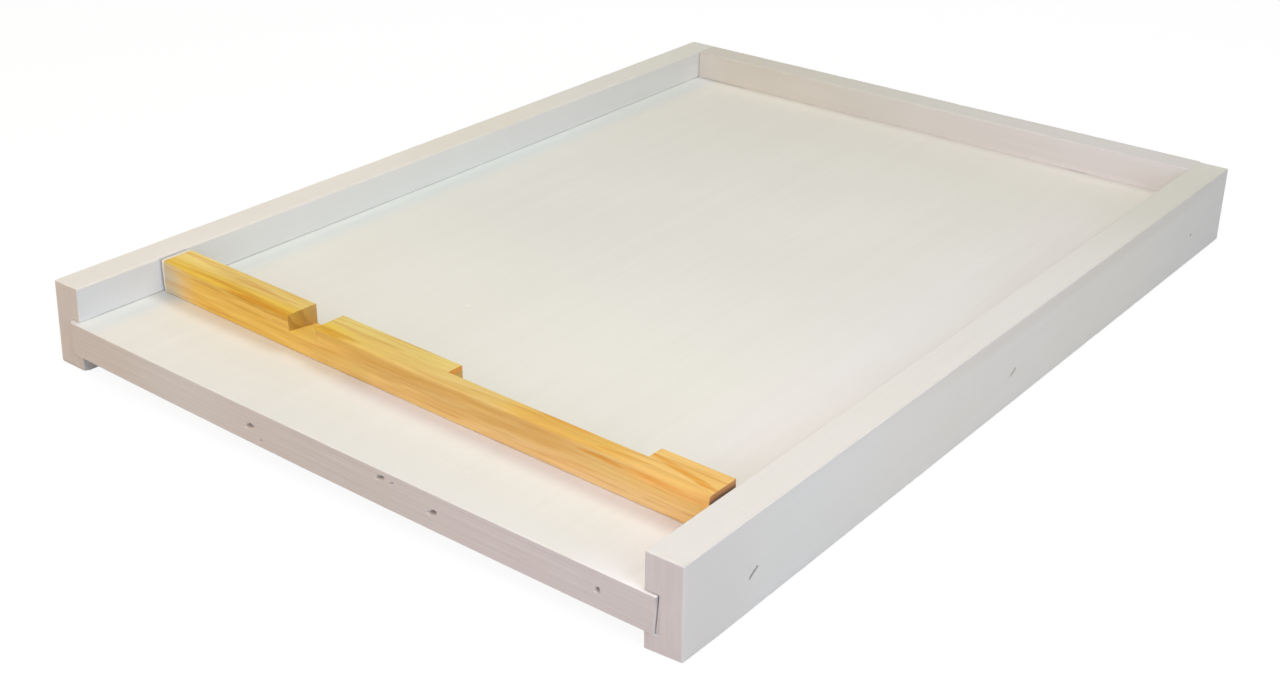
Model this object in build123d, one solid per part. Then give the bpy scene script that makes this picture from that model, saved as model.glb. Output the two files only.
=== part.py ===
from build123d import *
import os

# Hive bottom board: a plywood floor let into three grooved rails, and a loose entrance reducer.
# Millimetres. +Z is up, the entrance faces -Y, and the origin is under the middle of the board.

# Rails, all three cut from one grooved section
board_width = 412.75
rail_length = 558.8
rail_thickness = 19.05
deep_side = 19.05
shallow_side = 9.525
rail_rounding = 0.9
groove_depth = 7.1

# Plywood floor and how it sits in the grooves
panel_thickness = 19.05
panel_overhang = 2.0
panel_rounding = 1.2
groove_headroom = 0.3
side_slack = 1.2
rear_slack = 0.8

# Entrance reducer, a square stick notched on two faces
reducer_depth = 18.8
reducer_height = 18.6
reducer_end_play = 5.35
reducer_left_gap = 1.6
reducer_setback = 50.5
reducer_skew = 0.9
reducer_rounding = 0.5
reducer_float = 0.2
small_notch_from_left = 103.6
small_notch_width = 20.5
small_notch_depth = 9.525
wide_notch_from_right = 39.5
wide_notch_width = 120.65
wide_notch_depth = 9.525

# Wire staples driven through the rails into the panel's edge
staples_per_rail = 3
staple_end_distance = 49.4
staple_crown = 6.4
staple_leg = 31.75
staple_wire = 1.2
staple_bend = 0.5
staple_tip = 0.4
staple_set = 0.6
staple_slant = 30.0

# Places that follow from the sizes above
rail_height = shallow_side + panel_thickness + deep_side
floor_top = shallow_side + panel_thickness
inner_width = board_width - 2 * rail_thickness
panel_front = -(rail_length + panel_overhang) / 2
rail_front = panel_front + panel_overhang
rail_back = rail_front + rail_length
rear_inner = rail_back - rail_thickness
groove_height = panel_thickness + groove_headroom
staple_level = shallow_side + panel_thickness / 2


def block(low, high):
    """Box between two opposite corners."""
    size = [b - a for a, b in zip(low, high)]
    return Pos(*low) * Box(*size, align=Align.MIN)


def side_rail(side):
    """Rail on the left (-1) or right (+1) with a groove that runs out at both ends."""
    inner = side * inner_width / 2
    outer = side * board_width / 2
    bottom = inner + side * groove_depth
    rail = block((min(inner, outer), rail_front, 0), (max(inner, outer), rail_back, rail_height))
    rail = fillet(rail.edges(), rail_rounding)
    groove = block(
        (min(inner, bottom), rail_front, shallow_side),
        (max(inner, bottom), rail_back, shallow_side + groove_height),
    )
    return rail - groove


def rear_rail():
    """Rail butted between the side rails, grooved on its inner face."""
    half = inner_width / 2
    rail = block((-half, rear_inner, 0), (half, rail_back, rail_height))
    rail = fillet(rail.edges().filter_by(Axis.X), rail_rounding)
    groove = block(
        (-half, rear_inner, shallow_side),
        (half, rear_inner + groove_depth, shallow_side + groove_height),
    )
    return rail - groove


def floor_panel():
    """Plywood sheet: pushed against the left groove, short of the right and rear ones, proud at the front."""
    left = -inner_width / 2 - groove_depth
    right = inner_width / 2 + groove_depth - side_slack
    back = rear_inner + groove_depth - rear_slack
    panel = block((left, panel_front, shallow_side), (right, back, floor_top))
    front_edges = panel.faces().sort_by(Axis.Y)[0].edges().filter_by(Axis.X)
    return fillet(front_edges, panel_rounding)


def entrance_reducer():
    """Stick with a small notch across its top and a wide notch in its back, lying a little askew."""
    length = inner_width - reducer_end_play
    stick = block((0, 0, 0), (length, reducer_depth, reducer_height))
    stick = fillet(stick.edges().filter_by(Axis.X), reducer_rounding)
    small_notch = block(
        (small_notch_from_left, 0, reducer_height - small_notch_depth),
        (small_notch_from_left + small_notch_width, reducer_depth, reducer_height),
    )
    wide_right = length - wide_notch_from_right
    wide_notch = block(
        (wide_right - wide_notch_width, reducer_depth - wide_notch_depth, 0),
        (wide_right, reducer_depth, reducer_height),
    )
    notched = Pos(-length / 2, -reducer_depth / 2, 0) * (stick - small_notch - wide_notch)
    centre_x = -inner_width / 2 + reducer_left_gap + length / 2
    centre_y = rail_front + reducer_setback + reducer_depth / 2
    return Pos(centre_x, centre_y, floor_top + reducer_float) * Rot(0, 0, -reducer_skew) * notched


def staple_body():
    """Staple in its own axes: crown along X with its back on the XZ plane, legs towards -Y."""
    wire = Pos(0, -staple_leg / 2) * Rectangle(staple_crown, staple_leg)
    wire = chamfer(wire.vertices().group_by(Axis.Y)[-1], staple_bend)
    between_legs = Rectangle(staple_crown - 2 * staple_wire, staple_leg - staple_wire)
    wire -= Pos(0, -(staple_leg + staple_wire) / 2) * between_legs
    wire = chamfer(wire.vertices().group_by(Axis.Y)[0], staple_tip)
    return extrude(wire, staple_wire / 2, both=True)


def staple_slot():
    """Slot that the driver leaves above the crown, in the staple's axes."""
    half = staple_crown / 2
    return block((-half, 0, -staple_wire / 2), (half, staple_set, staple_wire / 2))


def staple_places(start, end, along):
    """Evenly spaced seats on an outer face, from start to end; along points right as seen from outside."""
    along = Vector(*along)
    up = Vector(0, 0, 1)
    outward = along.cross(up)
    crown_way = along.rotate(Axis((0, 0, 0), outward), staple_slant)
    step = (Vector(*end) - Vector(*start)) / (staples_per_rail - 1)
    for index in range(staples_per_rail):
        seat = Vector(*start) + step * index - outward * staple_set
        yield Plane(origin=seat, x_dir=crown_way, z_dir=crown_way.cross(outward))


# Wooden pieces
wood = {
    "floor_panel": floor_panel(),
    "left_rail": side_rail(-1),
    "right_rail": side_rail(1),
    "rear_rail": rear_rail(),
    "entrance_reducer": entrance_reducer(),
}

# Rows of staples: rail, first and last seat, and the way along the rail as seen from outside
front_seat = rail_front + staple_end_distance
back_seat = rail_back - staple_end_distance
half_board = board_width / 2
rear_reach = inner_width / 2 - staple_end_distance
staple_rows = {
    "right": ((half_board, front_seat, staple_level), (half_board, back_seat, staple_level), (0, 1, 0)),
    "left": ((-half_board, back_seat, staple_level), (-half_board, front_seat, staple_level), (0, -1, 0)),
    "rear": ((rear_reach, rail_back, staple_level), (-rear_reach, rail_back, staple_level), (-1, 0, 0)),
}

# Each staple is driven home, so the wood has exactly its shape cut out
staples = {}
for row, (start, end, along) in staple_rows.items():
    for number, seat in enumerate(staple_places(start, end, along), 1):
        staple = seat * staple_body()
        staples[f"{row}_staple_{number}"] = staple
        wood[f"{row}_rail"] -= staple + seat * staple_slot()
        wood["floor_panel"] -= staple

os.makedirs("parts", exist_ok=True)
for node, solid in {**wood, **staples}.items():
    export_step(solid, f"parts/{node}.step")
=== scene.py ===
import math

import bmesh
import bpy
from mathutils import Matrix, Vector, noise


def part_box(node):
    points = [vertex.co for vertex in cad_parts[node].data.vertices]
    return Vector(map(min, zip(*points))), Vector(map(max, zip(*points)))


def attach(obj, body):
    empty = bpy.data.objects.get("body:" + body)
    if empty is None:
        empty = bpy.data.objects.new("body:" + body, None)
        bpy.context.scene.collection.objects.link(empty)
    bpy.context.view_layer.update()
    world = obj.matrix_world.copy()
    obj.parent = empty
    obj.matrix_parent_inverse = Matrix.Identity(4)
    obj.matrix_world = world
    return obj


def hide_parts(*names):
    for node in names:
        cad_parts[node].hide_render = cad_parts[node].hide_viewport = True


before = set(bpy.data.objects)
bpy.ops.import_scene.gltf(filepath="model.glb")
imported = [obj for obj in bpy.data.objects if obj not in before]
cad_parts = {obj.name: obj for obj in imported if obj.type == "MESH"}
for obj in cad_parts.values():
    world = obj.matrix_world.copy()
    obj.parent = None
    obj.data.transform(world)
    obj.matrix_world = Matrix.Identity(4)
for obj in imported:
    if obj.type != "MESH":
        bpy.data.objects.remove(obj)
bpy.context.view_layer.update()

# Sizes in metres, taken from the frame where it holds them
mm = 0.001
panel_low, panel_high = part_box("floor_panel")
left_low, left_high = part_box("left_rail")
right_low, right_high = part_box("right_rail")
rear_low, rear_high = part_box("rear_rail")
stick_low, stick_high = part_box("entrance_reducer")
rail_thickness = left_high.x - left_low.x
rail_height = left_high.z
floor_top = panel_high.z
groove_depth = left_high.x - panel_low.x
headroom = 0.3 * mm
rail_rounding = 0.75 * mm
rail_spacing = 3 * mm
panel_rounding = 0.7 * mm
ply_thickness = 2.72 * mm
ply_wander = 1.6 * mm
ply_relief = 0.1 * mm
paint_bridge = 0.5 * mm
joint_rounding = 0.1 * mm
seam_filled = 0.9
touching = 0.01 * mm

# The left rail bows inward along its length, and its inner face leans further in at its foot
left_bow = 0.9 * mm
left_lean = 1 * mm

# Its front end is sawn out of square, back at its top and most so inside. Its lower corner and the
# panel's corner beside it are knocked off, and paint closes the seam there.
left_top_back = 2.6 * mm
left_inner_back = 0.2 * mm
left_end_reach = 40 * mm
left_foot_knock = 2.6 * mm
left_foot_height = 7 * mm
panel_corner_length = 3.4 * mm
panel_corner_proud = 0.1 * mm
panel_tuck = 1.8 * mm
left_seam_closed = 13 * mm

# The slit in the right groove leans, and paint has run into it behind the front end
slit_width = 1.2 * mm
slit_lean = 1.7 * mm
slit_depth = 1.1 * mm
slit_filled = 0.9

# The right rail's foot is worn away towards its front end, most on the outside, where the end also
# lies back. Its rear end is short at the top.
right_foot_worn = 0.7 * mm
right_foot_inside = 0.4
right_foot_reach = 36 * mm
right_foot_height = 9 * mm
right_end_back = 1.3 * mm
right_top_share = 0.4
right_rear_short = 1.4 * mm

# The rear rail's left joint has opened a little, less at its top
joint_open = 1.2 * mm
joint_top = 0.4

# The panel's front edge recedes towards its ends and hangs lower in the middle
edge_recede = 1.1 * mm
edge_sag = 0.6 * mm

# Stretches of the rear seam that show, from the middle
rear_seam_open = [(-183 * mm, -146 * mm), (108 * mm, 124 * mm)]

# Wear of the arrises: its changes per metre along and round a piece, its depth (the rails' in
# millimetres), knocks where its noise is high, and the share of a rounding that it may take
rail_wear_along = 60
rail_wear_round = 90
rail_wear = 0.1
knock_finer = 2.3
knock_level = 0.42
knock_depth = 0.9 * mm
stick_wear_along = 50
stick_wear_round = 80
stick_wear = 0.06 * mm
stick_wear_seed = 9
most_worn = 0.9

# Entrance reducer
stick_height = stick_high.z - stick_low.z
stick_middle = (stick_low + stick_high) / 2
stick_place = (stick_middle.x, stick_middle.y, stick_low.z)
stick_length = 369.3 * mm
stick_depth = 18.8 * mm
stick_skew = math.radians(-0.9)
stick_rounding = 0.5 * mm
stick_front_rounding = 1.5 * mm
stick_end_rounding = 0.35 * mm
stick_spacing = 4 * mm
stick_crook = 1.2 * mm
crook_level = 0.4

# Its underside is lower than in the frame
stick_lower = 0.15 * mm

# Its left end is short in front and behind, at its foot and at its top
stick_front_short = (0.9 * mm, 0.9 * mm)
stick_back_short = (0.2 * mm, 0.6 * mm)
stick_end_reach = 4 * mm

# Notches; the small one's floor is up in front and down behind
small_notch_from_left = 105.1 * mm
small_notch_width = 20.9 * mm
small_notch_depth = 9.525 * mm
small_notch_rise = 0.8 * mm
small_notch_fall = 1.6 * mm
wide_notch_from_right = 39.5 * mm
wide_notch_width = 120.65 * mm
wide_notch_depth = 9.525 * mm
notch_over = 5 * mm

# Staples, and the driver's slots over them, filled more towards the rear
staples_per_rail = 3
staple_from_end = 49.4 * mm
staple_crown = 6.4 * mm
staple_wire = 1.2 * mm
staple_leg = 31.75 * mm
staple_set = 0.6 * mm
staple_slant = math.radians(30)
staple_sizes = {
    "Crown width": staple_crown,
    "Wire thickness": staple_wire,
    "Leg length": staple_leg,
    "Set depth": staple_set,
}
staple_level = (panel_low.z + panel_high.z) / 2
slot_shares = (1.0, 0.8, 0.25)
slot_room_along = 0.7 * mm
slot_room_across = 0.5 * mm
slot_height = 6 * staple_set

# Openings in the plywood's core along the front edge, in millimetres:
# place from the middle, height over the underside, half length, half height, depth
core_voids = [
    (-50.1, 9, 3.4, 1.4, 4),
    (-42.8, 3.6, 1.6, 0.8, 1.5),
    (39, 14.6, 3, 1.1, 3),
    (46.2, 14.4, 2, 0.6, 1),
    (71.2, 9.2, 2.8, 1.4, 4),
    (164.2, 9.3, 1.5, 1.6, 3.5),
]
void_slope = 0.32
void_ragged = 0.3
void_softness = 0.35
void_lip = 0.62
void_lip_slope = 0.5
void_reach = 6 * mm

# Spans of faces in millimetres, with the softness of their ends: across, along and up the board.
# An end that lies past the face leaves that side open.
left_inner = (-188.2, -183.5, 0.4)
left_top = (-220, -180, 1)
right_top = (180, 220, 1)
right_outer = (205.6, 210, 0.4)
edge_front = (-300, -268, 1)
rear_inner = (200, 262, 1)
stick_across = (-300, -200, 1)
rail_inner = (28, 46.6, 1)
rail_outer = (-10, 46.8, 1)
rail_top = (46.8, 50, 0.4)
rear_up = (28, 46.6, 0.5)
edge_up = (9, 30, 0.5)
floor_up = (20, 40, 1)
stick_front = (20, 46.4, 0.5)
stick_top = (46.4, 60, 0.5)

# Tints in soft-edged boxes: three spans and the tint. On the paint they are mostly painted light and
# shade, lighter or darker where light falls more or less; on the pine they tint the wood
side_painted_light_and_shade = [
    # Left rail's inner face: painted light, cooler from the light on the right, and darker towards the
    # back
    (left_inner, (-300, -205, 35), rail_inner, (0.9, 0.96, 1.04)),
    (left_inner, (-205, 40, 35), rail_inner, (0.96, 1, 1.03)),
    (left_inner, (40, 300, 35), rail_inner, (0.93, 0.96, 0.99)),
    # Painted shade on the left rail's foot, under the panel at the front
    ((-188.2, -183, 0.4), (-300, -266, 4), (-1, 9.4, 0.4), (0.86, 0.86, 0.88)),
    # Left rail's top: painted light, lighter at the front and darker towards the back
    (left_top, (-300, -20, 60), rail_top, (1.07, 1.05, 1.03)),
    (left_top, (-20, 110, 60), rail_top, (1, 0.99, 0.94)),
    (left_top, (160, 300, 60), rail_top, (0.96, 0.97, 0.94)),
    (left_top, (252, 300, 30), rail_top, (0.96, 0.96, 0.96)),
    # Right rail's outer top arris: tinted warm, a painted correction against the lamps' blue highlight
    ((205.2, 210, 0.3), (-300, 300, 1), (46.9, 50, 0.3), (0.98, 0.96, 0.95)),
    # Right rail's top: painted shade, darker towards the back and along its inner arris
    (right_top, (-60, 130, 60), rail_top, (0.96, 0.96, 0.98)),
    ((186.5, 188.2, 0.5), (-220, 300, 30), (46.2, 50, 0.5), (0.94, 0.94, 0.93)),
    (right_top, (130, 300, 60), rail_top, (0.85, 0.86, 0.83)),
    # Right rail's outer face: painted light and shade, darker at the front and at its top, lighter behind
    (right_outer, (-300, -238, 30), rail_outer, (0.94, 0.92, 0.92)),
    (right_outer, (-140, 200, 60), rail_outer, (1.04, 1.02, 0.99)),
    (right_outer, (-80, 260, 60), (40, 46.8, 3), (0.96, 0.94, 0.92)),
    # Painted shade in the slit at the bottom of the right groove
    ((192, 195.5, 0.3), edge_front, edge_up, (0.8, 0.86, 1)),
]
edge_tones_and_painted_shade = [
    # Painted shade on the panel's right end, in the slit of the right groove
    ((193.7, 195.5, 0.4), edge_front, edge_up, (0.72, 0.72, 0.78)),
    ((-130, -70, 25), edge_front, edge_up, (1.03, 1.07, 1.1)),
    ((-30, 60, 25), edge_front, edge_up, (0.96, 0.97, 0.96)),
]
rear_tones_and_painted_light = [
    # Darker and warmer to the left, lighter and cooler to the right
    ((-300, -60, 90), (200, 300, 1), (-10, 60, 1), (0.95, 0.92, 0.87)),
    ((60, 300, 90), (200, 300, 1), (-10, 60, 1), (1.03, 1, 1.05)),
    # Painted light on the rear inner face, lifting the shade in both corners and along the seam at its
    # foot
    ((-300, -168, 10), rear_inner, rear_up, (1.07, 1.07, 1.1)),
    ((150, 300, 35), rear_inner, rear_up, (1.05, 1.09, 1.09)),
    ((40, 300, 40), rear_inner, (28, 31, 2), (1.08, 1.09, 1.09)),
    ((172, 300, 10), rear_inner, rear_up, (1.06, 1.08, 1.09)),
]
floor_painted_light_and_shade = [
    # Painted light: lighter behind the stick and at the front left, darker at the back right by the rear
    # rail
    ((-300, 300, 1), (-218, -70, 80), floor_up, (1.05, 1.04, 1.02)),
    ((-300, -60, 60), (-300, -252, 12), floor_up, (1.05, 1.03, 1.02)),
    ((-60, 300, 60), (246, 300, 12), floor_up, (0.96, 0.96, 0.97)),
    # Painted shadow of the stick on the floor in front of it, bluer on its right half against the warm
    # bounce from the pine
    ((-200, -168, 8), (-230, -216, 5), floor_up, (0.88, 0.91, 0.98)),
    ((-300, -20, 15), (-234, -222, 4), floor_up, (0.92, 0.9, 0.86)),
    ((-40, 300, 15), (-239, -225, 6), floor_up, (0.92, 0.91, 0.97)),
    ((-40, 300, 15), (-250, -225, 6), floor_up, (1, 1.01, 1.04)),
    # Painted light in the front right corner by the right rail, lifting its shade
    ((160, 200, 22), (-300, -236, 8), floor_up, (1.13, 1.11, 1.18)),
    # Darker towards the back: painted falloff of the light
    ((-300, 300, 1), (130, 300, 110), floor_up, (0.98, 0.96, 0.95)),
    # Painted shade of the left rail as a cooler band beside it; painted light as a lighter, cooler band
    # beside the right rail
    ((-210, -171, 7), (-320, 300, 30), floor_up, (0.93, 0.97, 1.02)),
    ((130, 200, 25), (-190, 200, 40), floor_up, (1.03, 1.02, 1.07)),
]
pine_tones = [
    ((-300, 300, 1), stick_across, stick_front, (1.03, 1.07, 1.08)),
    ((-300, -45, 14), (-300, -219, 4), stick_top, (1.02, 1, 0.46)),
    ((-300, -152, 12), (-217, -190, 4), stick_top, (1.13, 1.17, 1.18)),
    ((-62, -24, 8), stick_across, (20, 36.5, 2), (0.91, 0.93, 0.8)),
    ((66, 136, 12), stick_across, stick_top, (1, 0.88, 0.55)),
    ((142, 300, 10), stick_across, (41, 46.4, 1.5), (1.1, 1.03, 0.95)),
    ((60, 300, 20), stick_across, (20, 36, 3), (1.03, 1.07, 1.28)),
    ((-165, -35, 12), stick_across, (20, 44, 2), (1.08, 1.05, 1.06)),
    ((-55, 60, 15), stick_across, (41, 46.4, 1.5), (1, 0.97, 0.86)),
    ((-80, 300, 20), stick_across, stick_top, (1, 1.06, 1.04)),
    ((130, 300, 30), stick_across, stick_front, (1, 1.04, 1.05)),
]

# Small dents in the floor, in millimetres: place across, place along, half length, depth
floor_dents = [
    (-46, -133, 1.6, 0.5),
    (72, -257, 1.2, 0.35),
    (89, 17, 1.4, 0.4),
]

# Year rings of the stick: their heart lies before and below it, and they waver along it
heart_before = 42 * mm
heart_below = 26 * mm
ring_spacing = 5.2 * mm
ring_waver = 30 * mm
ring_ripple = 2.6 * mm

# Amber streaks of the stick, in millimetres: from its left end, from its front face, over its underside,
# half length, half width, half height, swing across per length, strength
streak_sway = 1.6
amber_streaks = [
    (70, 3, 18.6, 48, 2.2, 2.5, -0.02, 0.72),
    (84, 0.6, 17.6, 30, 2, 1.8, 0, 0.85),
    (100, 0.2, 17, 10, 2.2, 2.4, 0, 0.9),
    (50, 0, 14, 17, 3, 1.4, 0, 0.45),
    (66, 0, 11, 24, 3, 0.9, 0, 0.55),
    (80, 0, 15.4, 22, 3, 1.1, 0, 0.75),
    (138, 1.8, 18.6, 18, 2.2, 2.2, 0.02, 0.75),
    (312, 0, 15, 16, 3, 1.3, 0, 0.8),
    (336, 0, 15, 22, 2, 1.2, 0, 0.55),
    (284, 8.6, 18.6, 18, 2, 2.2, 0, 0.6),
    (322, 4, 18.6, 18, 1.1, 2, 0.1, 0.5),
    (350, 9.2, 18.6, 27, 2, 2.2, -0.17, 0.8),
    (361, 7.2, 18.6, 7, 2.2, 2.2, -0.17, 0.9),
]


def shade(red, green, blue):
    """Linear colour of a screen shade, 0 to 255."""
    channels = [c / 255 for c in (red, green, blue)]
    linear = [c / 12.92 if c <= 0.04045 else ((c + 0.055) / 1.055) ** 2.4 for c in channels]
    return (*linear, 1.0)


class Value:
    """A node's output, for use in arithmetic: each operator adds a Math node."""

    def __init__(self, sheet, socket):
        self.sheet = sheet
        self.socket = socket

    def __add__(self, other):
        return self.sheet.math("ADD", self, other)

    __radd__ = __add__

    def __sub__(self, other):
        return self.sheet.math("SUBTRACT", self, other)

    def __rsub__(self, other):
        return self.sheet.math("SUBTRACT", other, self)

    def __mul__(self, other):
        return self.sheet.math("MULTIPLY", self, other)

    __rmul__ = __mul__

    def __truediv__(self, other):
        return self.sheet.math("DIVIDE", self, other)

    def __gt__(self, other):
        return self.sheet.math("GREATER_THAN", self, other)

    def __abs__(self):
        return self.sheet.math("ABSOLUTE", self)


class Sheet:
    """A node tree being filled in."""

    def __init__(self, tree):
        self.tree = tree

    def node(self, kind, sockets=None, output=0, **settings):
        """Adds a node: its settings first, then the values or links of its sockets."""
        made = self.tree.nodes.new(kind)
        for key, value in settings.items():
            setattr(made, key, value)
        for key, value in (sockets or {}).items():
            self.feed(made.inputs[key], value)
        return Value(self, made.outputs[output])

    def feed(self, socket, value):
        """Sets or links a socket."""
        if isinstance(value, Value):
            self.tree.links.new(value.socket, socket)
        else:
            socket.default_value = value

    def math(self, operation, first, second=0):
        return self.node("ShaderNodeMath", {0: first, 1: second}, operation=operation)

    def vector(self, operation, first, second):
        return self.node("ShaderNodeVectorMath", {0: first, 1: second}, operation=operation)

    def mix(self, factor, first, second, blend="MIX"):
        """A colour between two colours."""
        sockets = {0: factor, 6: first, 7: second}
        return self.node("ShaderNodeMix", sockets, 2, data_type="RGBA", blend_type=blend)

    def parts(self, vector):
        """The X, Y and Z of a vector."""
        split = self.node("ShaderNodeSeparateXYZ", {0: vector}).socket.node
        return [Value(self, socket) for socket in split.outputs]


class Finish(Sheet):
    """A surface finish: a material on the piece's own coordinates."""

    def __init__(self, name):
        self.material = bpy.data.materials.new(name)
        self.material.use_nodes = True
        super().__init__(self.material.node_tree)
        self.shader = self.tree.nodes["Principled BSDF"]
        self.place = self.node("ShaderNodeTexCoord", output="Object")

    def link(self, name, value):
        """Sets or links a socket of the shader."""
        self.feed(self.shader.inputs[name], value)

    def grain(self, scale, detail, roughness=0.55, distortion=0.0, shift=(0, 0, 0)):
        """Noise from 0 to 1 on the piece's coordinates, scaled along each axis."""
        where = self.vector("ADD", self.vector("MULTIPLY", self.place, scale), shift)
        sockets = {"Vector": where, "Scale": 1, "Detail": detail, "Roughness": roughness}
        return self.node("ShaderNodeTexNoise", sockets | {"Distortion": distortion})

    def step(self, value, low, high):
        """A soft step from 0 to 1 between two levels of a value."""
        sockets = {"Value": value, "From Min": low, "From Max": high}
        return self.node("ShaderNodeMapRange", sockets, interpolation_type="SMOOTHSTEP")

    def within(self, value, low, full, still, high):
        """A soft hump: 0 up to low, 1 from full to still and 0 from high on."""
        return self.step(value, low, full) * self.step(value, high, still)

    def layers(self, colour, rows):
        """A colour under layers of others, each with its share."""
        for share, over in rows:
            colour = self.mix(share, colour, over)
        return colour

    def bump(self, height, distance, strength, under=None):
        """Fine relief, over another where one is given."""
        sockets = {"Height": height, "Distance": distance, "Strength": strength}
        if under is not None:
            sockets["Normal"] = under
        return self.node("ShaderNodeBump", sockets)

    def done(self, colour, roughness, relief):
        """The material, once its looks are linked."""
        self.link("Base Color", colour)
        self.link("Roughness", roughness)
        self.link("Normal", relief)
        return self.material


# White paint over wood and plywood, the plywood's bare core, pine and staple wire; some of them carry
# painted light and shade, as noted
paint_white = shade(237, 234, 226)
paint_darker = shade(233, 230, 221)
rail_white = shade(236, 230, 222)
rail_darker = shade(232, 226, 217)
# The rear rail's paint, darker and warmer than the side rails': painted shade for the light falling off
# towards the back
rear_painted_shade = shade(221, 217, 208)
rear_painted_shade_darker = shade(216, 211, 202)
# Thin paint on end grain and the ply edge, warmer and darker than the rest: the wood under it, and
# painted light for the warmer, dimmer light on the board's front faces
thin_white = shade(227, 220, 212)
thin_darker = shade(219, 208, 198)
thin_streak = shade(217, 206, 197)
thin_warm = shade(229, 212, 186)
thin_cool = shade(229, 217, 212)
# Bare core in the voids, darkened and blued also as painted shade in them
core_dark_and_shade = shade(136, 140, 150)
pine_golden = shade(232, 190, 80)
pine_pale = shade(231, 192, 117)
pine_rosy = shade(242, 192, 112)
pine_amber = shade(208, 144, 8)
pine_flame = shade(226, 149, 36)
pine_fibre = shade(206, 146, 62)
pine_brown = shade(212, 154, 72)
pine_blush = shade(243, 196, 124)
pine_cream = shade(244, 206, 116)
pine_grey = shade(196, 190, 170)
pine_beige = shade(230, 197, 140)
pine_straw = shade(232, 203, 119)
pine_cut = shade(208, 163, 66)
pine_cut_late = shade(172, 124, 42)
pine_cut_pale = shade(224, 186, 118)
pine_cut_rosy = shade(226, 164, 112)
pine_cut_orange = shade(238, 158, 60)
# Painted shade low on the stick's right end, beside the right rail
pine_painted_shade = shade(112, 106, 100)
wire_dark = shade(92, 92, 96)
wire_painted = shade(188, 187, 184)


def along(axis, fine, coarse):
    """Scale of a grain along one axis: coarse along it and fine across it."""
    return tuple(coarse if index == axis else fine for index in range(3))


def toned(finish, colour, tones):
    """A colour with tints in soft-edged boxes: where paint or wood differs in tone, and painted light and
    shade.
    """
    for *spans, tint in tones:
        share = None
        for place, (start, end, blur) in zip(finish.parts(finish.place), spans):
            edges = (start - blur, start + blur, end - blur, end + blur)
            inside = finish.within(place, *[edge * mm for edge in edges])
            share = inside if share is None else share * inside
        colour = finish.mix(share, colour, (*tint, 1.0), "MULTIPLY")
    return colour


def painted_wood(name, axis, light, dark, grain_depth, tones):
    """Satin paint on planed wood, with the grain showing faintly through and the tints of its table, most
    of them painted light and shade.
    """
    finish = Finish(name)
    fibres = finish.grain(along(axis, 420, 14), 4)
    bands = finish.grain(along(axis, 110, 4), 3)
    cloud = finish.grain((9, 9, 9), 2)
    stipple = finish.grain((700, 700, 700), 2)
    tone = finish.step(0.5 * cloud + 0.3 * bands + 0.2 * fibres, 0.36, 0.66)
    colour = toned(finish, finish.mix(tone, dark, light), tones)
    relief = finish.bump(fibres, 0.1 * grain_depth, 0.5)
    relief = finish.bump(bands, 0.2 * grain_depth, 0.4, relief)
    relief = finish.bump(stipple, 0.05 * mm, 0.35, relief)
    return finish.done(colour, 0.42 + 0.16 * cloud, relief)


def warm_left_cool_right(finish):
    """Tint of thin paint across the board: warm at its left and cool at its right."""
    across, _, _ = finish.parts(finish.place)
    return finish.mix(finish.step(across, left_low.x, right_high.x), thin_warm, thin_cool)


def painted_end_grain(name):
    """Paint soaked into sawn end grain: streaked, dull and a little thin, its warmer, darker tint partly
    painted light.
    """
    finish = Finish(name)
    pores = finish.grain((520, 40, 60), 4)
    rings = finish.grain((260, 40, 18), 2, 0.5, 0.6)
    tone = finish.step(0.6 * rings + 0.4 * pores, 0.34, 0.66)
    colour = finish.mix(0.5, finish.mix(tone, thin_streak, thin_white), warm_left_cool_right(finish))
    relief = finish.bump(rings, 0.15 * mm, 0.4, finish.bump(pores, 0.15 * mm, 0.5))
    return finish.done(colour, 0.6 + 0.2 * pores, relief)


def painted_ply_edge(name):
    """Paint on the sawn edge of plywood: plies as faint level streaks, open voids dark inside with bare
    core and painted shade, and painted shade where the edge runs into the right groove.
    """
    finish = Finish(name)
    _, _, up = finish.parts(finish.place)
    wander = finish.grain((24, 1, 60), 2)
    ply = finish.math("SINE", (up + ply_wander * wander) * (2 * math.pi / ply_thickness))
    streaks = finish.grain((34, 60, 900), 4, 0.6)
    pits = finish.grain((300, 300, 700), 2)
    void = finish.node("ShaderNodeAttribute", output="Fac", attribute_name="core_void")
    tone = finish.step(0.08 * ply + streaks, 0.28, 0.74)
    painted = finish.mix(0.5, finish.mix(tone, thin_darker, thin_white), warm_left_cool_right(finish))
    painted = toned(finish, painted, edge_tones_and_painted_shade)
    # Bare core and painted shade inside the voids
    bare = finish.step(void, 0.1, 0.8)
    relief = finish.bump(pits, 0.08 * mm, 0.4, finish.bump(streaks, 0.12 * mm, 0.5))
    return finish.done(finish.mix(bare, painted, core_dark_and_shade), 0.58 + 0.2 * streaks, relief)


def on_stick(finish):
    """Millimetres along, across and over the stick, from its left end, front face and underside."""
    sockets = {"Vector": finish.place, "Location": stick_place, "Rotation": (0, 0, stick_skew)}
    sockets["Scale"] = (mm, mm, mm)
    turned = finish.node("ShaderNodeMapping", sockets, vector_type="TEXTURE")
    corner = (stick_length / 2 / mm, stick_depth / 2 / mm, 0)
    return finish.parts(finish.vector("ADD", turned, corner))


def pine_streaks(finish):
    """How amber a point is from the streaks, 0 to 1."""
    run, across, up = on_stick(finish)
    sway = (finish.grain((30, 60, 60), 2, shift=(7, 3, 1)) - 0.5) * streak_sway
    amber = None
    for place, from_front, height, half_length, half_width, half_height, swing, strength in amber_streaks:
        off = (run - place) / half_length
        side = (across - from_front - off * swing * half_length + sway) / half_width
        rise = (up - height + sway) / half_height
        streak = strength * finish.step(off * off + side * side + rise * rise, 1.4, 0.3)
        amber = streak if amber is None else finish.math("MAXIMUM", amber, streak)
    return amber


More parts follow.
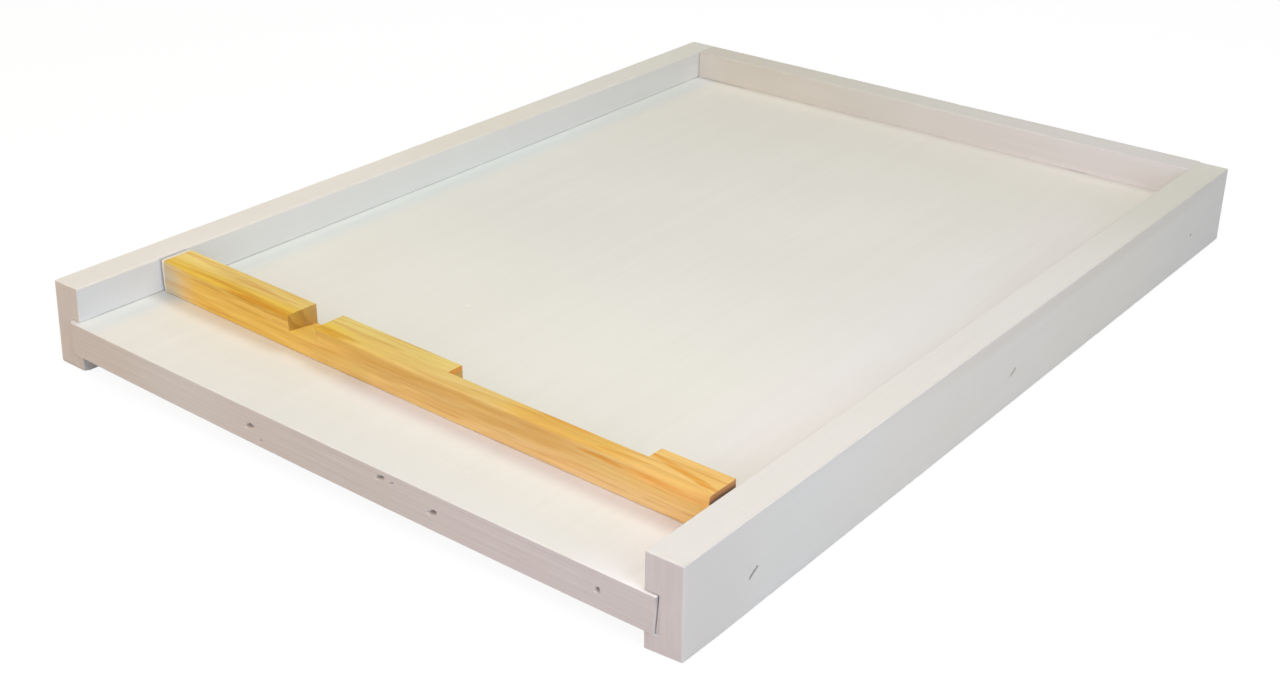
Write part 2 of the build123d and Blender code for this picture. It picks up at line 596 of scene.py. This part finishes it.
def pine_rings(finish):
    """How far a point lies in the dark late wood of its year ring, 0 to 1."""
    heart = (0.0, stick_low.y - heart_before, floor_top - heart_below)
    slow = finish.grain((5, 18, 18), 2, shift=(2.0, 0.4, 1.1))
    ripple = finish.grain((22, 70, 70), 2)
    _, back, up = finish.parts(finish.vector("SUBTRACT", finish.place, heart))
    reach = finish.math("SQRT", back * back + up * up)
    ring = finish.math("FRACT", (reach + ring_waver * slow + ring_ripple * ripple) / ring_spacing)
    return finish.within(ring, 0.15, 0.88, 0.88, 1.0)


def pine_face(finish, wood):
    """The wood's tones on the stick's top and front."""
    step, within = finish.step, finish.within
    run, across, up = on_stick(finish)
    on_front = step(across, 2.5, 0.2)
    low = step(up, 11, 2)
    high = within(up, 7, 12, 16, 17.5)
    middle = within(run, 110, 160, 270, 318)
    near_left = step(run + 0.3 * up, 36, 16)
    at_left = step(run + 0.3 * up, 24, 6)
    on_top = step(up, 17.6, 18.4) * step(run, 330, 230)
    return finish.layers(wood, [
        (0.9 * on_top * step(across, 2, 14), pine_straw),
        (0.6 * on_front * low * step(run, 90, 150), pine_blush),
        (0.4 * on_front * high * middle, pine_brown),
        (0.9 * on_front * near_left, pine_beige),
        (0.85 * on_front * at_left, pine_grey),
    ])


def rubbed_paint_and_painted_light(finish):
    """How pale the stick's left end is, 0 to 1, further in at its top: paint rubbed from the rail, and
    painted light that lifts the shade of the gap beside the rail.
    """
    run, _, up = on_stick(finish)
    ragged = 0.8 * finish.grain((60, 400, 400), 2)
    return finish.step(run - 0.07 * up + ragged, 2.6, 1.6)


def bare_pine(name):
    """Planed pine: soft year rings, amber flames and fine fibres along the stick."""
    finish = Finish(name)
    grain, step = finish.grain, finish.step
    late = pine_rings(finish)
    across, _, _ = finish.parts(finish.place)
    fibres = grain((20, 900, 900), 4, 0.6)
    flame = grain((8, 130, 130), 3, 0.5, 0.4, (3, 1, 2))
    patch = grain((14, 40, 40), 2, shift=(1, 5, 2))
    lines = grain((20, 440, 440), 3, 0.6, 0.2, (4, 2, 7))
    swayed = across + 0.09 * (patch - 0.5)
    wood = finish.mix(step(swayed, -0.1, 0.04), pine_golden, pine_pale)
    wood = finish.mix(step(swayed, 0.09, 0.16), wood, pine_rosy)
    amber = 0.3 * late * step(patch, 0.3, 0.62) + 0.3 * step(flame, 0.56, 0.78)
    streaks = pine_streaks(finish) * (0.6 + 0.6 * step(lines, 0.4, 0.6))
    flame_tone = finish.mix(step(across, 0.06, 0.12), pine_amber, pine_flame)
    wood = finish.layers(pine_face(finish, wood), [
        (0.6 * step(lines, 0.52, 0.68), pine_brown),
        (0.45 * step(lines, 0.47, 0.32), pine_cream),
        (finish.math("MAXIMUM", amber, streaks), flame_tone),
        (0.35 * step(fibres, 0.45, 0.75), pine_fibre),
    ])
    # Pale at the left end: rubbed paint, and painted light lifting the shade of the gap by the rail
    wood = finish.mix(0.9 * rubbed_paint_and_painted_light(finish), toned(finish, wood, pine_tones), rail_white)
    relief = finish.bump(late, 0.06 * mm, 0.3, finish.bump(fibres, 0.1 * mm, 0.5))
    return finish.done(wood, 0.52 + 0.18 * fibres, relief)


def pine_end_grain(name):
    """Sawn end grain of the same pine: darker and ringed, with painted shade low on the stick's right
    end.
    """
    finish = Finish(name)
    step = finish.step
    pores = finish.grain((200, 1400, 1400), 3)
    run, across, up = on_stick(finish)
    in_notch = finish.within(run, 190, 200, 220, 230)
    at_right = step(run - stick_length / mm, -4, -2)
    wood = finish.layers(pine_cut, [
        (0.6 * pine_rings(finish), pine_cut_late),
        (0.5 * step(pores, 0.45, 0.7), pine_cut_late),
        (0.5 * step(across, 6, 18), pine_cut_pale),
        # Pale at the left end: rubbed paint, and painted light lifting the shade of the gap by the rail
        (rubbed_paint_and_painted_light(finish), rail_white),
        (0.8 * in_notch * step(up, 15.2, 16.6), pine_cut_orange),
        (0.8 * at_right, pine_cut_rosy),
        # Painted shade low on the right end, where the right rail shades it
        (0.9 * at_right * step(up, 16.8, 14.0), pine_painted_shade),
    ])
    return finish.done(wood, 0.66 + 0.2 * pores, finish.bump(pores, 0.15 * mm, 0.6))


def galvanised_wire(name):
    """Staple wire, dull dark grey with specks of paint left on it."""
    finish = Finish(name)
    patches = finish.grain((900, 900, 900), 2)
    painted = finish.step(patches, 0.58, 0.7)
    finish.link("Metallic", 0.5 - 0.5 * painted)
    colour = finish.mix(painted, wire_dark, wire_painted)
    return finish.done(colour, 0.5 + 0.2 * painted, finish.bump(patches, 0.05 * mm, 0.5))


def placed(name, data):
    """New object in the scene."""
    thing = bpy.data.objects.new(name, data)
    bpy.context.scene.collection.objects.link(thing)
    return thing


def new_piece(name, build, *finishes):
    """Object at the origin for a finished mesh, with its faces outward."""
    bmesh.ops.recalc_face_normals(build, faces=build.faces[:])
    mesh = bpy.data.meshes.new(name)
    build.to_mesh(mesh)
    build.free()
    for finish in finishes:
        mesh.materials.append(finish)
    return placed(name, mesh)


def baked(piece):
    """Turns an object's modifiers into its plain mesh."""
    graph = bpy.context.evaluated_depsgraph_get()
    mesh = bpy.data.meshes.new_from_object(piece.evaluated_get(graph))
    piece.modifiers.clear()
    piece.data = mesh
    return piece


def cut(piece, cutter):
    """Takes a cutter's shape out of a piece."""
    knife = piece.modifiers.new("cut", "BOOLEAN")
    knife.operation = "DIFFERENCE"
    knife.solver = "EXACT"
    knife.object = cutter
    baked(piece)
    bpy.data.objects.remove(cutter)


def outline(corners, steps=5):
    """Closed outline through (u, v, radius) corners, counter-clockwise, with arcs where radius isn't 0:
    its points, the way into the wood at each, and whether each lies on a rounded arris."""
    points = []
    on_arris = []
    for index, (u, v, radius) in enumerate(corners):
        here = Vector((u, v))
        before = (Vector(corners[index - 1][:2]) - here).normalized()
        after = (Vector(corners[(index + 1) % len(corners)][:2]) - here).normalized()
        if radius == 0:
            points.append(here)
            on_arris.append(False)
            continue
        for step in range(steps + 1):
            turn = step / steps * math.pi / 2
            points.append(here + radius * (before * (1 - math.sin(turn)) + after * (1 - math.cos(turn))))
            on_arris.append(True)
    inward = []
    for index, here in enumerate(points):
        arriving = (here - points[index - 1]).normalized()
        leaving = (points[(index + 1) % len(points)] - here).normalized()
        first = Vector((-arriving.y, arriving.x))
        second = Vector((-leaving.y, leaving.x))
        inward.append((first + second) / (1 + first.dot(second)))
    return points, inward, on_arris


def quarter(radius, steps):
    """Points of a quarter round, from (0, radius) to (radius, 0)."""
    turns = [step / steps * math.pi / 2 for step in range(steps + 1)]
    return [(radius * (1 - math.cos(turn)), radius * (1 - math.sin(turn))) for turn in turns]


def end_stations(length, rounding, spacing, steps=4):
    """Places along a piece with rounded ends, each with how far its outline is drawn in there."""
    near = quarter(rounding, steps)[:-1]
    count = max(2, round((length - 2 * rounding) / spacing))
    middle = [(rounding + (length - 2 * rounding) * k / count, 0.0) for k in range(count + 1)]
    far = [(length - place, drawn) for place, drawn in near[::-1]]
    return near + middle + far


def stitched(build, rings, skin_finish=lambda index: 0, end_finish=0):
    """Closes rings of vertices into a skin with two ends, each face with the number of its finish."""
    for first, second in zip(rings, rings[1:]):
        for index, corner in enumerate(first):
            following = (index + 1) % len(first)
            face = build.faces.new((corner, first[following], second[following], second[index]))
            face.material_index = skin_finish(index)
    for ring in (rings[0], rings[-1]):
        build.faces.new(ring).material_index = end_finish


def swept(loop, inward, stations, to_frame, drawn_in):
    """Outline carried along stations; drawn_in tells how far each point goes inward."""
    build = bmesh.new()
    rings = []
    for run, drawn in stations:
        ring = []
        for index, (point, way) in enumerate(zip(loop, inward)):
            moved = point + way * drawn_in(run, drawn, index, point)
            ring.append(build.verts.new(to_frame(run, moved.x, moved.y)))
        rings.append(ring)
    stitched(build, rings)
    return build


def finish_ends(piece, axis, facing=0.7):
    """Gives the faces that look along an axis the piece's second finish."""
    for face in piece.data.polygons:
        if abs(face.normal[axis]) > facing:
            face.material_index = 1


def staple_frames(start, end, along_rail, bowed=lambda y: 0.0):
    """Seats of a rail's staples: X along the crown, Z out of the wood, origin on the rail's face."""
    along_rail = Vector(along_rail)
    start, end = [Vector((*point, staple_level)) for point in (start, end)]
    outward = along_rail.cross(Vector((0, 0, 1)))
    crown_way = Matrix.Rotation(staple_slant, 3, outward) @ along_rail
    turn = Matrix((crown_way, outward.cross(crown_way), outward)).transposed()
    seats = []
    for index in range(staples_per_rail):
        place = start.lerp(end, index / (staples_per_rail - 1))
        place.x += bowed(place.y)
        seats.append(Matrix.LocRotScale(place, turn, None))
    return seats


def slot_cutter(seats):
    """Slots that the driver leaves over the crowns, open a little round the wire."""
    build = bmesh.new()
    for seat, share in zip(seats, slot_shares):
        size = (share * staple_crown + slot_room_along, staple_wire + slot_room_across, slot_height)
        over_crown = seat @ Matrix.Translation((0, 0, staple_set)) @ Matrix.Diagonal((*size, 1))
        bmesh.ops.create_cube(build, size=1, matrix=over_crown)
    return new_piece("slot_cutter", build)


def rail(name, seats, to_frame, length, axis, end_rounding, seed):
    """Grooved rail with worn arrises and the staples' slots."""
    inner = rail_thickness
    bottom = rail_thickness - groove_depth
    groove_low = panel_low.z
    groove_high = floor_top + headroom
    corners = [
        (0, 0, rail_rounding),
        (inner, 0, rail_rounding),
        (inner, groove_low, 0),
        (bottom, groove_low, 0),
        (bottom, groove_high, 0),
        (inner, groove_high, 0),
        (inner, rail_height, rail_rounding),
        (0, rail_height, rail_rounding),
    ]
    loop, inward, on_arris = outline(corners)

    def worn(run, drawn, index, point):
        if not on_arris[index]:
            return drawn
        across = point.x * rail_wear_round + seed
        here = Vector((run * rail_wear_along, across, point.y * rail_wear_round))
        knock = max(0, noise.noise(here * knock_finer) - knock_level)
        wear = (rail_wear + rail_wear * noise.noise(here)) * mm + knock_depth * knock
        return min(drawn + wear, most_worn * rail_rounding)

    stations = end_stations(length, end_rounding, rail_spacing)
    build = swept(loop, inward, stations, to_frame, worn)
    piece = new_piece(name, build, paint_on_rails[axis], paint_on_ends)
    cut(piece, slot_cutter(seats))
    finish_ends(piece, axis)
    return piece


def at_seam(height):
    """Whether a height is that of the groove's upper lip, over the floor."""
    return abs(height - floor_top - headroom) < touching


def out_of_square(run, inward, height):
    """How far back a point near the left rail's front end lies."""
    near = max(0, 1 - run / left_end_reach)
    top_back = left_top_back + left_inner_back * inward / rail_thickness
    return near * (top_back * height / rail_height)


def left_bowed(y):
    """How far the left rail bows inward at a place along the board."""
    return left_bow * (1 - (y / left_low.y) ** 2)


def left_rail_point(run, inward, height):
    """Point of the left rail in the frame."""
    back = out_of_square(run, inward, height)
    gone = max(0, left_foot_knock - run)
    lift = left_foot_knock - math.sqrt(left_foot_knock ** 2 - gone ** 2)
    height += lift * max(0, 1 - height / left_foot_height)
    if at_seam(height):
        height -= headroom * max(0, 1 - run / left_seam_closed)
    y = left_low.y + run + back
    if inward > rail_thickness / 2:
        lower = min(1, (rail_height - height) / (rail_height - floor_top))
        inward += left_lean * left_bowed(y) / left_bow * lower
    return Vector((left_low.x + left_bowed(y) + inward, y, height))


def slit_leaning(height):
    """How far right the slit in the right groove leans at a height."""
    return slit_lean * ((height - panel_low.z) / (panel_high.z - panel_low.z) - 0.5)


def right_rail_point(run, inward, height):
    """Point of the right rail in the frame."""
    if abs(inward - rail_thickness + groove_depth) < touching:
        inward += slit_filled * slit_width * min(1, run / slit_depth)
        inward -= slit_leaning(height)
    near = max(0, 1 - run / right_foot_reach)
    outside = 1 - (1 - right_foot_inside) * inward / rail_thickness
    height += right_foot_worn * near ** 2 * outside * max(0, 1 - height / right_foot_height)
    back = right_end_back * near * (1 - inward / rail_thickness)
    back *= 1 - (1 - right_top_share) * height / rail_height
    far = max(0, 1 - (right_high.y - right_low.y - run) / right_foot_reach)
    back -= right_rear_short * far * max(0, 2 * height / rail_height - 1)
    return Vector((right_high.x - inward, right_low.y + run + back, height))


def rear_rail_point(run, inward, height):
    """Point of the rear rail in the frame; paint bridges its joints and most of its seam."""
    x = rear_low.x - paint_bridge + run
    if run < paint_bridge and inward > rail_thickness / 2:
        x += joint_open * (1 - (1 - joint_top) * height / rail_height) + paint_bridge - run
    if at_seam(height) and not any(start < x < end for start, end in rear_seam_open):
        height -= seam_filled * headroom
    return Vector((x, rear_high.y - inward, height))


def panel_section(rows=30, arc_steps=5):
    """Points of the panel seen from its side, front edge first, and how many lie on that edge."""
    front, low, high = panel_low.y, panel_low.z, panel_high.z
    arc = quarter(panel_rounding, arc_steps)
    straight = high - low - 2 * panel_rounding
    points = [(front + back, high - drop) for drop, back in arc]
    points += [(front, high - panel_rounding - straight * row / rows) for row in range(1, rows)]
    points += [(front + back, low + rise) for back, rise in arc]
    skin = len(points)
    points += [(panel_high.y, low), (panel_high.y, high)]
    return [Vector(point) for point in points], skin


def floor_board(name, columns=620, top_faces=3):
    """Plywood panel with plies and open voids in its front edge and dents in its top."""
    loop, skin = panel_section()
    low, high = panel_low.z, panel_high.z
    start = panel_low.x - panel_tuck
    reach = panel_high.x - panel_low.x + panel_tuck
    build = bmesh.new()
    rings = []
    for column in range(columns + 1):
        x = start + reach * column / columns
        towards_end = (x / panel_high.x) ** 2
        ring = []
        for index, point in enumerate(loop):
            depth = hang = 0.0
            if index < skin:
                depth = void_at(x, point.y)[1] + edge_relief(x, point.y)
                depth += max(corner_gone(x, point.y), edge_recede * towards_end)
                hang = edge_sag * (1 - towards_end) * (high - point.y) / (high - low)
            lean = slit_leaning(point.y) if column == columns else 0.0
            ring.append(build.verts.new((x + lean, point.x + depth, point.y - hang)))
        rings.append(ring)
    stitched(build, rings, lambda index: int(top_faces <= index < skin - 1), 1)
    piece = new_piece(name, build, paint_on_floor, paint_on_ply_edge)
    cut(piece, dent_cutter())
    mark = piece.data.attributes.new("core_void", "FLOAT", "POINT")
    for vertex, value in zip(piece.data.vertices, mark.data):
        on_edge = vertex.co.y < panel_low.y + void_reach
        value.value = void_at(vertex.co.x, vertex.co.z)[0] if on_edge else 0.0
    return piece


def corner_gone(x, z):
    """How far the panel's left front corner is knocked off, down to the rail's end there."""
    share = min(1, max(0, 1 - (x - panel_low.x) / panel_corner_length))
    rail_end = left_low.y + out_of_square(0.0, rail_thickness - groove_depth, z)
    return share * (rail_end - panel_low.y - panel_corner_proud)


def dent_cutter():
    """Shallow pips that leave the floor's dents."""
    build = bmesh.new()
    for across, run, half_length, depth in floor_dents:
        place = Matrix.Translation((across * mm, run * mm, floor_top))
        spread = Matrix.Diagonal((0.6 * half_length * mm, half_length * mm, depth * mm, 1))
        bmesh.ops.create_icosphere(build, subdivisions=2, radius=1, matrix=place @ spread)
    return new_piece("dent_cutter", build)


def void_at(x, z):
    """How dark a point of the front edge is in an open void, 0 to 1, and how deep it is sunk there.
    A void leans, is deepest under its upper lip and slopes out to its lower one."""
    void = depth = 0.0
    for place, height, half_length, half_height, sunk in core_voids:
        off = x / mm - place
        across = off / half_length
        up = ((z - panel_low.z) / mm - height - void_slope * off) / half_height
        ragged = void_ragged * noise.noise(Vector((x * 700, z * 900, place)))
        inside = 1 - math.hypot(across, up) + ragged
        share = min(1, max(0, inside / void_softness))
        under_lip = min(1, max(0, void_lip + void_lip_slope * up))
        if share * under_lip > void:
            void = share * under_lip
            depth = void * sunk * mm
    return void, depth


def edge_relief(x, z):
    """Small unevenness of the sawn plies, inwards only."""
    ply = int((z - panel_low.z) / ply_thickness)
    uneven = 1 + noise.noise(Vector((x * 40, ply * 7.3, 0)))
    return ply_relief * uneven * (0.4 + 0.6 * (ply % 2))


def block(low, high):
    """Plain cutter between two corners."""
    build = bmesh.new()
    middle = (Vector(low) + Vector(high)) / 2
    spread = Matrix.Diagonal((*(Vector(high) - Vector(low)), 1))
    bmesh.ops.create_cube(build, size=1, matrix=Matrix.Translation(middle) @ spread)
    return new_piece("block", build)


def stick_blank(name):
    """Planed stick with worn arrises, along X, with the middle of its underside at the origin."""
    half_depth = stick_depth / 2
    corners = [
        (-half_depth, -stick_lower, stick_rounding),
        (half_depth, -stick_lower, stick_rounding),
        (half_depth, stick_height, stick_rounding),
        (-half_depth, stick_height, stick_front_rounding),
    ]
    loop, inward, _ = outline(corners, steps=4)

    def to_frame(run, across, up):
        return Vector((run - stick_length / 2, across, up))

    def worn(run, drawn, index, point):
        up = point.y * stick_wear_round + stick_wear_seed
        here = Vector((run * stick_wear_along, point.x * stick_wear_round, up))
        return min(drawn + stick_wear * (1 + noise.noise(here)), most_worn * stick_rounding)

    stations = end_stations(stick_length, stick_end_rounding, stick_spacing)
    return new_piece(name, swept(loop, inward, stations, to_frame, worn), pine, pine_ends)


def cut_notches(piece):
    """Cuts the small notch across the stick's top and the wide one into its back."""
    behind = stick_depth / 2 + notch_over
    above = stick_height + notch_over
    left = small_notch_from_left - stick_length / 2
    low = (left, -stick_depth / 2 - notch_over, stick_height - small_notch_depth)
    cut(piece, block(low, (left + small_notch_width, behind, above)))
    right = stick_length / 2 - wide_notch_from_right
    low = (right - wide_notch_width, stick_depth / 2 - wide_notch_depth, -notch_over)
    cut(piece, block(low, (right, behind, above)))
    finish_ends(piece, 0)


def bend_stick(piece):
    """Gives the stick its crook, its short left end and the small notch's sloping floor."""
    half_length = stick_length / 2
    notch_floor = stick_height - small_notch_depth
    ends = (stick_front_short, stick_back_short)
    for vertex in piece.data.vertices:
        place = vertex.co
        behind = (place.y + stick_depth / 2) / stick_depth
        if abs(place.z - notch_floor) < touching:
            place.z += small_notch_rise - (small_notch_rise + small_notch_fall) * behind
        at_end = max(0, 1 - (place.x + half_length) / stick_end_reach)
        front, back = [foot + (top - foot) * place.z / stick_height for foot, top in ends]
        place.x += at_end * (front + (back - front) * behind)
        place.y -= stick_crook * (crook_level - (place.x / half_length) ** 2)


def reducer_stick(name):
    """Entrance reducer, turned to how it lies."""
    piece = stick_blank(name)
    cut_notches(piece)
    bend_stick(piece)
    piece.data.transform(Matrix.Translation(stick_place) @ Matrix.Rotation(stick_skew, 4, "Z"))
    return piece


def rounded(sheet, curve, radius, steps):
    """A curve of straight runs with its bends rounded."""
    sockets = {"Curve": curve, "Radius": radius, "Count": steps}
    return sheet.node("GeometryNodeFilletCurve", sockets, mode="POLY")


def bent_wire(sheet, index, crown, wire, leg, depth):
    """One staple: wire bent through four points, from tip to tip."""
    side = (index > 1.5) * 2 - 1
    at_tip = abs(index - 1.5) > 1
    sockets = {0: side * (crown - wire) * 0.5, 2: at_tip * (wire - leg) - wire * 0.5 - depth}
    path = sheet.node("ShaderNodeCombineXYZ", sockets)
    points = sheet.node("GeometryNodeMeshLine", {"Count": 4})
    points = sheet.node("GeometryNodeSetPosition", {"Geometry": points, "Position": path})
    bent = rounded(sheet, sheet.node("GeometryNodeMeshToCurve", {"Mesh": points}), wire, 4)
    section = sheet.node("GeometryNodeCurvePrimitiveQuadrilateral", {"Width": wire, "Height": wire})
    section = rounded(sheet, section, wire * 0.25, 2)
    sockets = {"Curve": bent, "Profile Curve": section, "Fill Caps": True}
    return sheet.node("GeometryNodeCurveToMesh", sockets)


def driven_row(sheet, staple, index, row):
    """A staple on each seat of one rail; the middle one follows the rail's bow."""
    start, middle, end = [seat.translation for seat in row]
    sockets = {"Count": len(row), "Start Location": start, "Offset": end}
    places = sheet.node("GeometryNodeMeshLine", sockets, mode="END_POINTS")
    off_line = middle - (start + end) / 2
    sockets = {0: off_line, "Scale": 1 - abs(index - 1)}
    from_line = sheet.node("ShaderNodeVectorMath", sockets, operation="SCALE")
    places = sheet.node("GeometryNodeSetPosition", {"Geometry": places, "Offset": from_line})
    sockets = {"Points": places, "Instance": staple, "Rotation": row[0].to_euler()}
    return sheet.node("GeometryNodeInstanceOnPoints", sockets)


def staple_tree(seats):
    """Geometry Nodes: one bent wire, set on the seats of each rail."""
    tree = bpy.data.node_groups.new("driven_staples", "GeometryNodeTree")
    for name in staple_sizes:
        tree.interface.new_socket(name, in_out="INPUT", socket_type="NodeSocketFloat")
    tree.interface.new_socket("Geometry", in_out="OUTPUT", socket_type="NodeSocketGeometry")
    sheet = Sheet(tree)
    group = tree.nodes.new("NodeGroupInput")
    sizes = [Value(sheet, socket) for socket in group.outputs[:len(staple_sizes)]]
    index = sheet.node("GeometryNodeInputIndex")
    staple = bent_wire(sheet, index, *sizes)
    joined = sheet.node("GeometryNodeJoinGeometry")
    for row in seats:
        sheet.feed(joined.socket.node.inputs[0], driven_row(sheet, staple, index, row))
    real = sheet.node("GeometryNodeRealizeInstances", {0: joined})
    coated = sheet.node("GeometryNodeSetMaterial", {"Geometry": real, "Material": wire_metal})
    sheet.feed(tree.nodes.new("NodeGroupOutput").inputs[0], coated)
    return tree


def driven_staples(name, seats):
    """All staples of the board as one mesh."""
    piece = new_piece(name, bmesh.new())
    tree = staple_tree(seats)
    nodes = piece.modifiers.new("staples", "NODES")
    nodes.node_group = tree
    for item in tree.interface.items_tree:
        if item.name in staple_sizes:
            nodes[item.identifier] = staple_sizes[item.name]
    return baked(piece)


# Finishes
paint_on_rails = {
    0: painted_wood("painted_rear_rail", 0, rear_painted_shade, rear_painted_shade_darker, mm, rear_tones_and_painted_light),
    1: painted_wood("painted_side_rail", 1, rail_white, rail_darker, mm, side_painted_light_and_shade),
}
paint_on_ends = painted_end_grain("painted_end_grain")
paint_on_floor = painted_wood("painted_floor", 1, paint_white, paint_darker, 0.4 * mm, floor_painted_light_and_shade)
paint_on_ply_edge = painted_ply_edge("painted_ply_edge")
pine = bare_pine("bare_pine")
pine_ends = pine_end_grain("pine_end_grain")
wire_metal = galvanised_wire("staple_wire")

# Seats of the staples
front_seat = left_low.y + staple_from_end
back_seat = left_high.y - staple_from_end
rear_reach = rear_high.x - staple_from_end
seats = {
    "right": staple_frames((right_high.x, front_seat), (right_high.x, back_seat), (0, 1, 0)),
    "left": staple_frames((left_low.x, back_seat), (left_low.x, front_seat), (0, -1, 0), left_bowed),
    "rear": staple_frames((rear_reach, rear_high.y), (-rear_reach, rear_high.y), (-1, 0, 0)),
}
side_length = left_high.y - left_low.y
rear_length = rear_high.x - rear_low.x + 2 * paint_bridge

# Each rail's points, length, axis, rounding of its ends and seed of its wear
rails = {
    "right": (right_rail_point, side_length, 1, rail_rounding, 3.1),
    "left": (left_rail_point, side_length, 1, rail_rounding, 7.7),
    "rear": (rear_rail_point, rear_length, 0, joint_rounding, 12.9),
}
for side, plan in rails.items():
    piece = rail(f"{side}_rail_painted", seats[side], *plan)
    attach(piece, "board")
    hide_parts(f"{side}_rail")

floor_piece = floor_board("floor_panel_painted")
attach(floor_piece, "board")
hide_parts("floor_panel")

stick = reducer_stick("entrance_reducer_pine")
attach(stick, "reducer")
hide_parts("entrance_reducer")

staples = driven_staples("staples_driven", list(seats.values()))
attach(staples, "board")
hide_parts(*[f"{row}_staple_{number + 1}" for row in seats for number in range(staples_per_rail)])

# Camera where the photograph was taken from
camera_place = Vector((0.52773, -0.71663, 0.41927))
camera_aim = Vector((0.05117, -0.10914, floor_top))
camera_roll = math.radians(0.653)
camera = placed("camera", bpy.data.cameras.new("camera"))
camera.data.lens = 47.62
camera.data.sensor_width = 36
view_turn = (camera_aim - camera_place).to_track_quat("-Z", "Y").to_matrix()
view_turn = view_turn @ Matrix.Rotation(camera_roll, 3, "Z")
camera.matrix_world = Matrix.LocRotScale(camera_place, view_turn, None)
bpy.context.scene.camera = camera

# Softboxes round the board: place, side in metres, power in watts, colour
softboxes = {
    "overhead": ((0.1, 0.5, 1.7), 0.8, 10.7, (0.94, 1, 0.92)),
    "front_top": ((0.0, -0.45, 0.9), 0.6, 2.1, (0.99, 0.99, 1)),
    "right": ((0.9, -0.5, 0.7), 0.5, 3.3, (0.84, 0.86, 1)),
    "low_right": ((1.6, -0.5, 0.45), 0.7, 7.5, (0.72, 0.85, 1)),
    "left": ((-1.2, -1.2, 1.1), 0.8, 6.3, (1, 0.75, 0.56)),
    "low_front": ((0.2, -1.7, 0.5), 1.0, 6.2, (0.95, 0.87, 1)),
}

# Studio: light from all round, and a floor that glows for the camera
white = (1, 1, 1, 1)
round_light = (0.98, 1.0, 0.95, 1)
round_strength = 0.12
glow_share = 0.75


def softbox(name, place, size, power, colour):
    """Square lamp that looks at the board."""
    lamp = bpy.data.lights.new(name, "AREA")
    lamp.size = size
    lamp.energy = power
    lamp.color = colour
    holder = placed(name, lamp)
    holder.location = place
    holder.rotation_mode = "QUATERNION"
    holder.rotation_quaternion = (-Vector(place)).to_track_quat("-Z", "Y")


def seen_rays(sheet):
    """1 on rays that the camera sees by, straight or in gloss or glass, and 0 on the rest."""
    rays = sheet.node("ShaderNodeLightPath").socket.node.outputs
    kinds = ("Is Camera Ray", "Is Glossy Ray", "Is Transmission Ray")
    straight, mirrored, passed = [Value(sheet, rays[kind]) for kind in kinds]
    return sheet.math("MAXIMUM", sheet.math("MAXIMUM", straight, mirrored), passed)


def studio_floor():
    """Pale floor that the camera sees as white, with the board's shadow on it."""
    build = bmesh.new()
    bmesh.ops.create_grid(build, x_segments=1, y_segments=1, size=6)
    finish = Finish("studio_floor")
    finish.link("Base Color", shade(180, 180, 180))
    finish.link("Roughness", 0.9)
    glow = finish.node("ShaderNodeEmission", {"Color": white, "Strength": 1.22})
    lit = Value(finish, finish.shader.outputs[0])
    shown = finish.node("ShaderNodeMixShader", {0: glow_share * seen_rays(finish), 1: lit, 2: glow})
    finish.feed(finish.tree.nodes["Material Output"].inputs["Surface"], shown)
    piece = new_piece("studio_floor", build, finish.material)


def studio_world():
    """Even light from all round, white where the camera looks past the floor."""
    world = bpy.data.worlds.new("studio")
    world.use_nodes = True
    bpy.context.scene.world = world
    sheet = Sheet(world.node_tree)
    background = world.node_tree.nodes["Background"]
    seen = seen_rays(sheet)
    sheet.feed(background.inputs["Color"], sheet.mix(seen, round_light, white))
    sheet.feed(background.inputs["Strength"], round_strength + (1 - round_strength) * seen)


for name, lamp in softboxes.items():
    softbox(f"{name}_softbox", *lamp)
studio_world()
studio_floor()
bpy.context.scene.view_settings.view_transform = "Standard"
